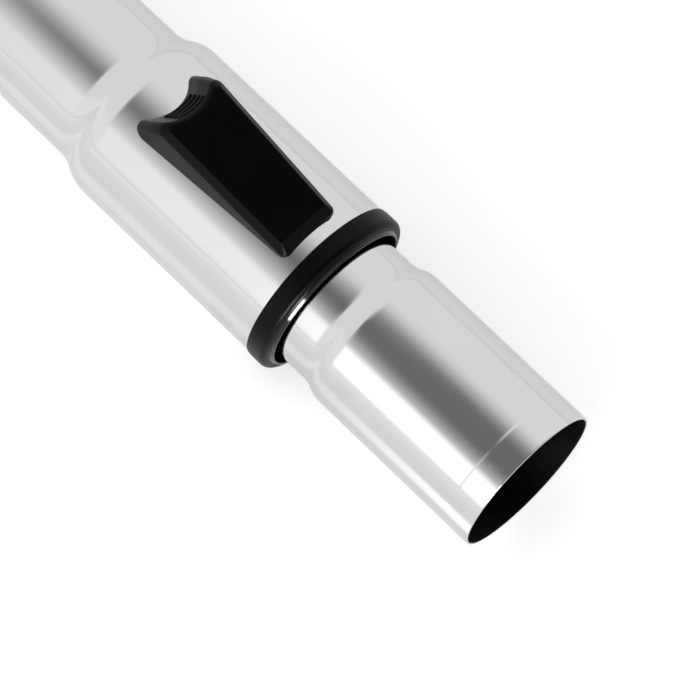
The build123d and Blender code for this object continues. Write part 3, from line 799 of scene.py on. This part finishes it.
def lugs():
    """The collar's two snap lugs, seen in their holes on the underside of the swelled end."""
    shell = bmesh.new()
    foot = SKIRT_BORE + 0.5 * MM
    top = SWELL_RADIUS - 0.05 * MM
    size = Matrix.Diagonal((LUG_LENGTH, LUG_WIDTH, top - foot, 1))
    for side in (-1, 1):
        turn = Matrix.Rotation(side * (pi - radians(LUG_ANGLE)), 4, "X")
        place = turn @ Matrix.Translation((lug_x, 0, (top + foot) / 2)) @ size
        bmesh.ops.create_cube(shell, size=1.0, matrix=place)
    bmesh.ops.bevel(shell, geom=shell.edges[:], offset=0.2 * MM, segments=3, profile=0.5, affect="EDGES")
    bmesh.ops.recalc_face_normals(shell, faces=shell.faces)
    mesh = bpy.data.meshes.new("collar_lugs")
    shell.to_mesh(mesh)
    shell.free()
    mesh.polygons.foreach_set("use_smooth", [True] * len(mesh.polygons))
    mesh.materials.append(black_finish)
    piece = linked("collar_lugs", mesh)
    sharpened(piece, 40)
    return piece


def wiper():
    """Rubber ring with its lip on the inner tube."""
    flange_x = wiper_low.x + 2.5 * MM
    tip_x = wiper_high.x
    nose_radius = WIPER_BORE + 0.8 * MM
    corners = [
        (wiper_low.x, WIPER_BORE + 0.25 * MM, 0),
        (wiper_low.x, wiper_high.z, 0.2 * MM),
        (flange_x, wiper_high.z, 0.2 * MM),
        (flange_x, nose_radius, 0.25 * MM),
        (tip_x - 0.8 * MM, nose_radius, 0.35 * MM),
        (tip_x, WIPER_BORE + 0.3 * MM, 0.12 * MM),
        (tip_x, WIPER_BORE, 0.05 * MM),
        (tip_x - 1.2 * MM, WIPER_BORE, 0),
        (tip_x - 2.0 * MM, WIPER_BORE + 0.25 * MM, 0),
    ]
    return ring("wiper_lip", corners, rubber_finish)


# Thumb slide

def top_height(x):
    """Height of the flat top, which falls towards the collar."""
    return TOP_AT_ANCHOR - slope * (x - pawl_x + ANCHOR_SETBACK)


def foot_height(x, y):
    """Height of the lower edge, just clear of the tube."""
    return sqrt((SWELL_RADIUS + SLIDE_GAP) ** 2 - y**2)


def side_place(x, z):
    share = (x - horn_x) / (button_front_x - horn_x)
    return TAIL_HALF_WIDTH + (NOSE_HALF_WIDTH - TAIL_HALF_WIDTH) * share - draft * (z - DRAFT_BASE)


def scoop_place(y, z):
    dip = SCOOP_RADIUS - sqrt(max(SCOOP_RADIUS**2 - y**2, 0.0))
    return ramp_x + (z - SWELL_RADIUS) * ramp_cos / ramp_sin - dip / ramp_sin


def slide_outline(height, inset, scoop_inset, nose_inset, corner, horn):
    """Outline of the slide at a height: scoop, rounded horns, sides with round tail corners, and nose.

    height(x, y, part) is the height there; part runs from 0 on the scoop over 1 on the side to 2 on the nose.
    """
    def settled(place, start):
        for i in range(12):
            start = place(start)
        return start

    def on_scoop(y):
        x = settled(lambda x: scoop_place(y, height(x, y, 0.0)) + scoop_inset, ramp_x)
        return Vector((x, y))

    def on_side(x):
        return Vector((x, settled(lambda y: side_place(x, height(x, y, 1.0)) - inset, NOSE_HALF_WIDTH)))

    nose_x = settled(
        lambda x: button_front_x - draft * (height(x, 0.0, 2.0) - DRAFT_BASE) - nose_inset, button_front_x)
    round_tail = TAIL_CORNER - inset
    tail = horn_x + draft * (height(horn_x, TAIL_HALF_WIDTH - TAIL_CORNER, 1.0) - DRAFT_BASE) + inset
    tail_centre = on_side(tail + round_tail) - Vector((0, round_tail))

    def room(place):
        """How far a place is inside the side and its tail corner, and the way out."""
        if place.x < tail_centre.x and place.y > tail_centre.y:
            return round_tail - (place - tail_centre).length, (place - tail_centre).normalized()
        return on_side(place.x).y - place.y, Vector((0, 1))

    def horn_centre(y):
        here = on_scoop(y)
        along = on_scoop(y + 0.01 * MM) - on_scoop(y - 0.01 * MM)
        return here, here + Vector((along.y, -along.x)).normalized() * horn

    low, high = 2.0 * MM, TAIL_HALF_WIDTH
    for i in range(30):
        middle = (low + high) / 2
        if room(horn_centre(middle)[1])[0] > horn:
            low = middle
        else:
            high = middle
    touch, centre = horn_centre(low)
    way_out = room(centre)[1]
    points = [(*on_scoop(low * i / 24), 0.0) for i in range(24)]
    start = atan2(touch.y - centre.y, touch.x - centre.x) % (2 * pi)
    end = atan2(way_out.y, way_out.x)
    for i in range(13):
        a = start + (end - start) * i / 12
        points.append((centre.x + horn * cos(a), centre.y + horn * sin(a), i / 12))
    corner_centre = on_side(nose_x - corner) - Vector((0, corner))
    bend = max(end - pi / 2, 0.0) * round_tail
    side_start = tail_centre.x if bend else centre.x
    whole = bend + corner_centre.x - side_start
    for i in range(1, 30):
        run = whole * (i / 30) ** 2
        if run < bend:
            a = end - run / round_tail
            place = tail_centre + Vector((cos(a), sin(a))) * round_tail
        else:
            place = on_side(side_start + run - bend)
        points.append((*place, 1.0))
    for i in range(9):
        a = pi / 2 * (1 - i / 8)
        points.append((corner_centre.x + corner * cos(a), corner_centre.y + corner * sin(a), 1.0 + i / 8))
    for i in range(1, 9):
        points.append((nose_x, corner_centre.y * (1 - i / 8), 2.0))
    half = [(x, y, height(x, y, part)) for x, y, part in points]
    return half + [(x, -y, z) for x, y, z in reversed(half[1:-1])]


def eased(share):
    return share * share * (3 - 2 * share)


def blended(part, scoop, side, nose):
    if part <= 1.0:
        return scoop + (side - scoop) * eased(part)
    return side + (nose - side) * eased(part - 1.0)


def bevel_profile(run, drop):
    """Bevel with rounded edges: how far in from the wall and down from the top each step is."""
    far = 3 * MM
    corners = [(0, -drop - far, 0), (0, -drop, EDGE_ROUND), (run, 0, EDGE_ROUND), (run + far, 0, 0)]
    return rounded(corners, 4)[1:-2]


def scoop_profile():
    """Round between the ramp and the top, in the same measures."""
    far = 5 * MM
    corners = [(-far * ramp_cos, -far * ramp_sin, 0), (0, 0, SCOOP_EDGE), (far, -far * slope, 0)]
    return [(x - z * ramp_cos / ramp_sin, z + slope * x) for x, z in rounded(corners, 9)[1:-2]]


def slide_levels():
    """Rings of the slide's outside, from its lower edge over the bevels to the flat top."""
    profiles = [scoop_profile(), bevel_profile(BEVEL_WIDTH, BEVEL_HEIGHT)]
    profiles.append(bevel_profile(NOSE_BEVEL_RUN, NOSE_BEVEL_DROP))
    drops = [profile[0][1] for profile in profiles]
    rings = []
    for share, inset in ((0.0, LOWER_ROUND), (0.0, 0.0), (0.5, 0.0)):
        lift = LOWER_ROUND - inset

        def height(x, y, part, share=share, lift=lift):
            bottom = foot_height(x, y) + lift
            return bottom + share * (top_height(x) + blended(part, *drops) - bottom)

        rings.append(slide_outline(height, inset, inset, inset, NOSE_CORNER, HORN_ROUND))
    for scoop, side, nose in zip(*profiles):
        def height(x, y, part, scoop=scoop, side=side, nose=nose):
            return top_height(x) + blended(part, scoop[1], side[1], nose[1])

        corner = max(NOSE_CORNER - side[0], EDGE_ROUND)
        rings.append(slide_outline(height, side[0], scoop[0], nose[0], corner, HORN_ROUND - 0.3 * side[0]))
    insets = [profile[-1][0] + EDGE_ROUND for profile in (profiles[1], profiles[0], profiles[2])]
    rings.append(slide_outline(
        lambda x, y, part: top_height(x), *insets, EDGE_ROUND, HORN_ROUND - 0.3 * insets[0]))
    return rings


def slide_hollow():
    """Rings of the slide's inside, from its lower edge to its ceiling."""
    rings = []
    for share in (0.0, 1.0):
        def height(x, y, part, share=share):
            bottom = foot_height(x, y)
            return bottom + share * (top_height(x) - CAP_WALL - bottom)

        rings.append(slide_outline(height, CAP_WALL, CAP_WALL / ramp_sin, CAP_WALL, 0.4 * MM, 0.5 * MM))
    return rings


def thumb_slide():
    """Moulded slide: its outside and its hollow."""
    outside, inside = slide_levels(), slide_hollow()
    rings = outside[::-1] + inside
    count = len(rings[0])
    points = [p for ring_points in rings for p in ring_points]
    faces = [tuple(range(count)), tuple(range(len(points) - 1, len(points) - count - 1, -1))]
    for k in range(len(rings) - 1):
        for i in range(count):
            j = (i + 1) % count
            faces.append((k * count + i, k * count + j, (k + 1) * count + j, (k + 1) * count + i))
    shell = mesh_object("thumb_slide", points, faces)
    shell.data.polygons.foreach_set("use_smooth", [True] * len(shell.data.polygons))
    outwards(shell)
    sharpened(shell, 50)
    shell.data.materials.append(black_finish)
    return shell


def sharpened(piece, angle):
    """Marks the edges that turn by more than the angle as sharp."""
    shell = bmesh.new()
    shell.from_mesh(piece.data)
    for edge in shell.edges:
        edge.smooth = len(edge.link_faces) == 2 and edge.calc_face_angle(0) < radians(angle)
    shell.to_mesh(piece.data)
    shell.free()


def plate(x0, x1, side, slotted):
    """One plate inside the slide, its clip hook at the bottom, with or without the cam slot."""
    bottom = button_low.z
    sunk = CAP_WALL / 2
    foot = [(x0, bottom), (x1, bottom), (x1, top_height(x1) - sunk), (x0, top_height(x0) - sunk)]
    curve = bpy.data.curves.new("plate", "CURVE")
    curve.dimensions = "2D"
    curve.fill_mode = "BOTH"
    curve.extrude = PLATE_WALL / 2 - PLATE_EDGE
    curve.bevel_depth = PLATE_EDGE
    curve.bevel_resolution = 1
    curve.offset = -PLATE_EDGE
    outlines = [foot]
    if slotted:
        tilt = atan2(CAM_RISE, -CAM_RUN)
        ends = ((pawl_x - CAM_RUN, pin_z + CAM_RISE, tilt), (pawl_x, pin_z, tilt + pi))
        slot = []
        for x, z, turn in ends:
            for i in range(17):
                a = turn - pi / 2 + pi * i / 16
                slot.append((x + CAM_SLOT * cos(a), z + CAM_SLOT * sin(a)))
        outlines.append(slot)
    for outline in outlines:
        spline = curve.splines.new("POLY")
        spline.points.add(len(outline) - 1)
        for point, (x, z) in zip(spline.points, outline):
            point.co = (x, z, 0, 1)
        spline.use_cyclic_u = True
    middle = side * (PLATE_INSIDE + PLATE_WALL / 2)
    drawn = linked("plate", curve)
    graph = bpy.context.evaluated_depsgraph_get()
    mesh = bpy.data.meshes.new_from_object(drawn.evaluated_get(graph))
    bpy.data.objects.remove(drawn)
    mesh.transform(Matrix.Translation((0, middle, 0)) @ Matrix.Rotation(pi / 2, 4, "X"))
    outer = side * (PLATE_INSIDE + PLATE_WALL)
    root, tip = outer - side * PLATE_EDGE, outer + side * HOOK_REACH
    section = (
        (root, HOOK_LIFT), (tip - side * HOOK_CHAMFER, HOOK_LIFT), (tip, HOOK_CHAMFER),
        (tip, HOOK_HEIGHT), (root, HOOK_HEIGHT),
    )
    return mesh, [(x, y, bottom + z) for x in (x0, x1) for y, z in section]


def slide_inside():
    """Cam plates with their slots, clip legs with their hooks, and the finger that bears on the spring."""
    shell = bmesh.new()
    cam_tail = pawl_low.x - CAM_TAIL
    cam_front = pawl_high.x + CAM_FRONT
    leg_front = swell_end_x - WINDOW_SETBACK - SLIDE_TRAVEL - SLIDE_GAP
    for side in (-1, 1):
        for x0, x1, slotted in ((cam_tail, cam_front, True), (leg_front - LEG_LENGTH, leg_front, False)):
            mesh, hook = plate(x0, x1, side, slotted)
            shell.from_mesh(mesh)
            bpy.data.meshes.remove(mesh)
            points = [shell.verts.new(p) for p in hook]
            shell.faces.new(points[:5])
            shell.faces.new(points[:4:-1])
            for i in range(5):
                j = (i + 1) % 5
                shell.faces.new((points[j], points[i], points[i + 5], points[j + 5]))
    finger_x = spring_low.x - FINGER_WALL / 2
    bottom = spring_z - (spring_high.z - spring_low.z) / 2 + 0.1 * MM
    top = top_height(finger_x) - CAP_WALL / 2
    size = Matrix.Diagonal((FINGER_WALL, FINGER_WIDTH, top - bottom, 1))
    place = Matrix.Translation((finger_x, 0, (top + bottom) / 2)) @ size
    bmesh.ops.create_cube(shell, size=1.0, matrix=place)
    bmesh.ops.remove_doubles(shell, verts=shell.verts, dist=0.0005 * MM)
    bmesh.ops.recalc_face_normals(shell, faces=shell.faces)
    piece = mesh_object("thumb_slide_inside", [])
    shell.to_mesh(piece.data)
    shell.free()
    piece.data.materials.append(black_finish)
    return piece


def slide_ribs():
    ramp_length = (top_height(ramp_x + RAMP_RUN) - SWELL_RADIUS) / ramp_sin
    first = ramp_length / 2 - (GRIP_RIBS - 1) / 2 * GRIP_PITCH
    sunk = GRIP_WIDTH / 2 - GRIP_HEIGHT
    seed = mesh_object("seed", [(0, 0, 0)])
    return outwards(grown("thumb_ribs", seed, [(grip_ribs, {
        "Count": GRIP_RIBS, "Material": black_finish, "Scoop Radius": SCOOP_RADIUS,
        "Half Angle": radians(GRIP_HALF_ANGLE), "Pitch": GRIP_PITCH, "Width": GRIP_WIDTH,
        "Ramp Angle": radians(RAMP_ANGLE), "Base X": ramp_x + first * ramp_cos + sunk * ramp_sin,
        "Base Z": SWELL_RADIUS + first * ramp_sin - sunk * ramp_cos,
    })]))


def spring():
    coil_radius = (spring_high.z - spring_low.z) / 2 - SPRING_WIRE
    length = spring_high.x - spring_low.x - 2 * SPRING_WIRE
    seed = mesh_object("seed", [(0, 0, 0)])
    return outwards(grown("slide_spring", seed, [(coil, {
        "Turns": float(SPRING_TURNS), "Length": length, "Coil Radius": coil_radius,
        "Wire Radius": SPRING_WIRE, "Start X": spring_low.x + SPRING_WIRE, "Height": spring_z,
        "Material": steel_finish,
    })]))


turned_ring = turned_ring_tree()
turned_wall = turned_wall_tree()
pressed_forms = pressed_forms_tree()
grip_ribs = grip_ribs_tree()
coil = coil_tree()

outer_piece = outer_tube()
inner_piece = inner_tube()
collar_piece = collar()
wiper_piece = wiper()
slide_piece = thumb_slide()
ribs_piece = slide_ribs()
inside_piece = slide_inside()
lugs_piece = lugs()
spring_piece = spring()

for piece, body, slot, node in (
    (outer_piece, "outer", "chromed_steel", "outer_tube"),
    (inner_piece, "inner", "chromed_steel", "inner_tube"),
    (collar_piece, "outer", "black_plastic", "end_collar"),
    (wiper_piece, "outer", "wiper_rubber", "wiper_ring"),
    (slide_piece, "button", "black_plastic", "button_cap"),
    (spring_piece, "outer", "bare_steel", "return_spring"),
):
    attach(piece, body)
    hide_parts(node)

for piece, body in ((ribs_piece, "button"), (inside_piece, "button"), (lugs_piece, "outer")):
    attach(piece, body)
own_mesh(spring_piece)

for node, material in (
    ("guide_sleeve", bearing_finish),
    ("tail_glide", bearing_finish),
    ("lock_housing", bearing_finish),
    ("lock_pawl", bearing_finish),
    ("pawl_pin", steel_finish),
):
    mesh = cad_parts[node].data
    mesh.materials.clear()
    mesh.materials.append(material)


# Camera, at the photograph's viewing angle
CAMERA_DISTANCE = 1.0
FRAME_WIDTH = 0.1494
SENSOR = 36.0
ROLL = radians(43.6)
LEAN = radians(13.3)
SIDE = radians(17.4)
LOOK_X = 0.5157
LOOK_DOWN = 0.00566


def set_camera():
    """Looks down on the lock from the near side, leaning along the wand and turned in its own frame."""
    along = Vector((1, 0, 0))
    above = Vector((0, -sin(SIDE), cos(SIDE)))
    to_camera = along * sin(LEAN) + above * cos(LEAN)
    level = along * cos(LEAN) - above * sin(LEAN)
    upright = to_camera.cross(level)
    right = level * cos(ROLL) + upright * sin(ROLL)
    up = upright * cos(ROLL) - level * sin(ROLL)
    place = along * LOOK_X - upright * LOOK_DOWN + to_camera * CAMERA_DISTANCE
    camera = linked("camera", bpy.data.cameras.new("camera"))
    camera.data.sensor_width = SENSOR
    camera.data.lens = SENSOR * CAMERA_DISTANCE / FRAME_WIDTH
    camera.data.clip_end = 100.0
    turned = Matrix((right, up, to_camera)).transposed().to_4x4()
    camera.matrix_world = Matrix.Translation(place) @ turned
    bpy.context.scene.camera = camera


# Floor, touching the collar and the floor-head end
FLOOR_REACH = 12.0
FLOOR_LIGHT = 0.34
# Painted pool of light: place, half width, reach and fade of the band beside the wand where the floor glows
# brighter in reflections
PAINTED_POOL_PLACE = 44.0 * MM
PAINTED_POOL_HALF = 10.0 * MM
PAINTED_POOL_AHEAD = 35.0 * MM
PAINTED_POOL_FADE = 60.0 * MM


def floor():
    """Pale paper, with a painted pool of light on the near side: a band of the floor that glows brighter only
    in the chrome's reflections, standing in for the light that the chrome throws onto the floor.
    """
    low = -collar_high.z
    rise = (collar_high.z - SPIGOT_RADIUS) / (swell_end_x + 3 * MM)
    corners = []
    for sx, sy in ((-1, -1), (1, -1), (1, 1), (-1, 1)):
        x = sx * FLOOR_REACH
        corners.append((x, sy * FLOOR_REACH, low - rise * (x - swell_end_x)))
    piece = mesh_object("floor", corners, faces=[(0, 1, 2, 3)])
    finish = Finish("floor_paper", (0.82, 0.82, 0.82), 0.9)
    times, plus, minus = finish.times, finish.plus, finish.minus
    finish.shades(finish.noise(3.0, 4.0), (0.81, 0.81, 0.81), (0.83, 0.83, 0.83))
    path = finish.node("ShaderNodeLightPath").outputs
    mirrored = finish.math("MAXIMUM", path["Is Glossy Ray"], path["Is Transmission Ray"])
    parts = finish.node("ShaderNodeSeparateXYZ", Vector=finish.place).outputs
    # Painted pool of light beside the wand, brighter ahead of the collar, glowing only where the chrome
    # mirrors the floor
    painted_pool = finish.step_down(finish.math("ABSOLUTE", plus(parts[1], PAINTED_POOL_PLACE)), PAINTED_POOL_HALF, PAINTED_POOL_HALF)
    ahead = minus(1.0, finish.step_down(parts[0], swell_end_x + PAINTED_POOL_AHEAD, PAINTED_POOL_FADE))
    painted_pool = times(painted_pool, plus(0.4, times(ahead, 1.6)))
    seen = plus(path["Is Camera Ray"], times(mirrored, plus(0.3, painted_pool)))
    finish.feed(finish.shader.inputs["Emission Color"], (1.0, 1.0, 1.0, 1.0))
    finish.feed(finish.shader.inputs["Emission Strength"], times(seen, FLOOR_LIGHT))
    piece.data.materials.append(finish.material)


# Studio, as the chrome mirrors it. Turns are angles round the wand from the top, in degrees,
# and lean is how far a direction leans along the wand, from -1 at the floor head to 1 at the handle.
SURROUND = 0.95
DIFFUSE_LIGHT = 0.85
CARD_TURN, CARD_HALF, CARD_EDGE, CARD_DEPTH = 17.0, 20.0, 45.0, 0.76
BOX_TURN, BOX_HALF, BOX_EDGE = 70.0, 18.0, 12.0
FRONT_TURN, FRONT_HALF, FRONT_EDGE, FRONT_LIGHT = 72.0, 20.0, 6.0, 28.0
NEAR_LEAN = -0.237


def studio():
    """Pale surroundings, a dark card overhead, a long box low on the near side and a lamp in front."""
    world = bpy.data.worlds.new("studio")
    bpy.context.scene.world = world
    world.use_nodes = True
    sky = Tree(world.node_tree)
    times, plus, minus, below = sky.times, sky.plus, sky.minus, sky.step_down
    background = world.node_tree.nodes["Background"]
    place = sky.node("ShaderNodeTexCoord").outputs["Generated"]
    parts = sky.node("ShaderNodeSeparateXYZ", Vector=place).outputs
    lean = parts[0]
    turn = sky.math("ARCTAN2", times(parts[1], -1.0), parts[2])

    def off(middle):
        return sky.math("ABSOLUTE", minus(turn, middle))

    def band(middle, half, edge):
        return below(off(radians(middle)), radians(half), radians(edge))

    def past(place, width):
        return minus(1.0, below(lean, place, width))

    near = past(NEAR_LEAN, 0.014)
    card_half = plus(radians(CARD_HALF), times(near, radians(12.0)))
    card_half = plus(card_half, times(past(0.0, 0.3), radians(32.0)))
    card_edge = minus(radians(CARD_EDGE), times(near, radians(7.0)))
    card_turn = minus(radians(CARD_TURN), times(near, radians(4.0)))
    along = times(past(-0.36, 0.16), below(lean, 0.62, 0.3))
    card = times(below(off(card_turn), card_half, card_edge), along)
    card = times(card, plus(CARD_DEPTH, times(past(-0.08, 0.1), 0.16)))
    box = plus(plus(0.08, times(past(-0.3, 0.03), 0.14)), times(near, 0.5))
    box = times(band(BOX_TURN, BOX_HALF, BOX_EDGE), box)
    front = times(past(0.6, 0.04), below(lean, 0.78, 0.04))
    front = times(times(band(FRONT_TURN, FRONT_HALF, FRONT_EDGE), front), FRONT_LIGHT)
    level = minus(minus(SURROUND, times(past(0.5, 0.2), 0.2)), card)
    level = plus(level, plus(box, front))
    path = sky.node("ShaderNodeLightPath").outputs
    mirrored = path["Is Glossy Ray"]
    shown = plus(times(level, mirrored), times(minus(1.0, mirrored), DIFFUSE_LIGHT))
    sky.feed(background.inputs["Strength"], sky.math("MAXIMUM", shown, path["Is Camera Ray"]))
    sky.feed(background.inputs["Color"], (1.0, 1.0, 1.0, 1.0))


def softbox(name, place, aim, size, power):
    """Lamp of the given size that lights the floor and the plastics, and isn't mirrored."""
    lamp = bpy.data.lights.new(name, "AREA")
    lamp.shape = "RECTANGLE"
    lamp.size, lamp.size_y = size
    lamp.energy = power
    light = linked(name, lamp)
    facing = (Vector(place) - Vector(aim)).to_track_quat("Z", "Y")
    light.matrix_world = Matrix.Translation(place) @ facing.to_matrix().to_4x4()
    light.visible_glossy = False


set_camera()
floor()
studio()
softbox("near_softbox", (0.45, -1.1, 0.7), (0.5, 0, 0), (1.2, 0.8), 6.0)

bpy.context.scene.view_settings.view_transform = "Standard"
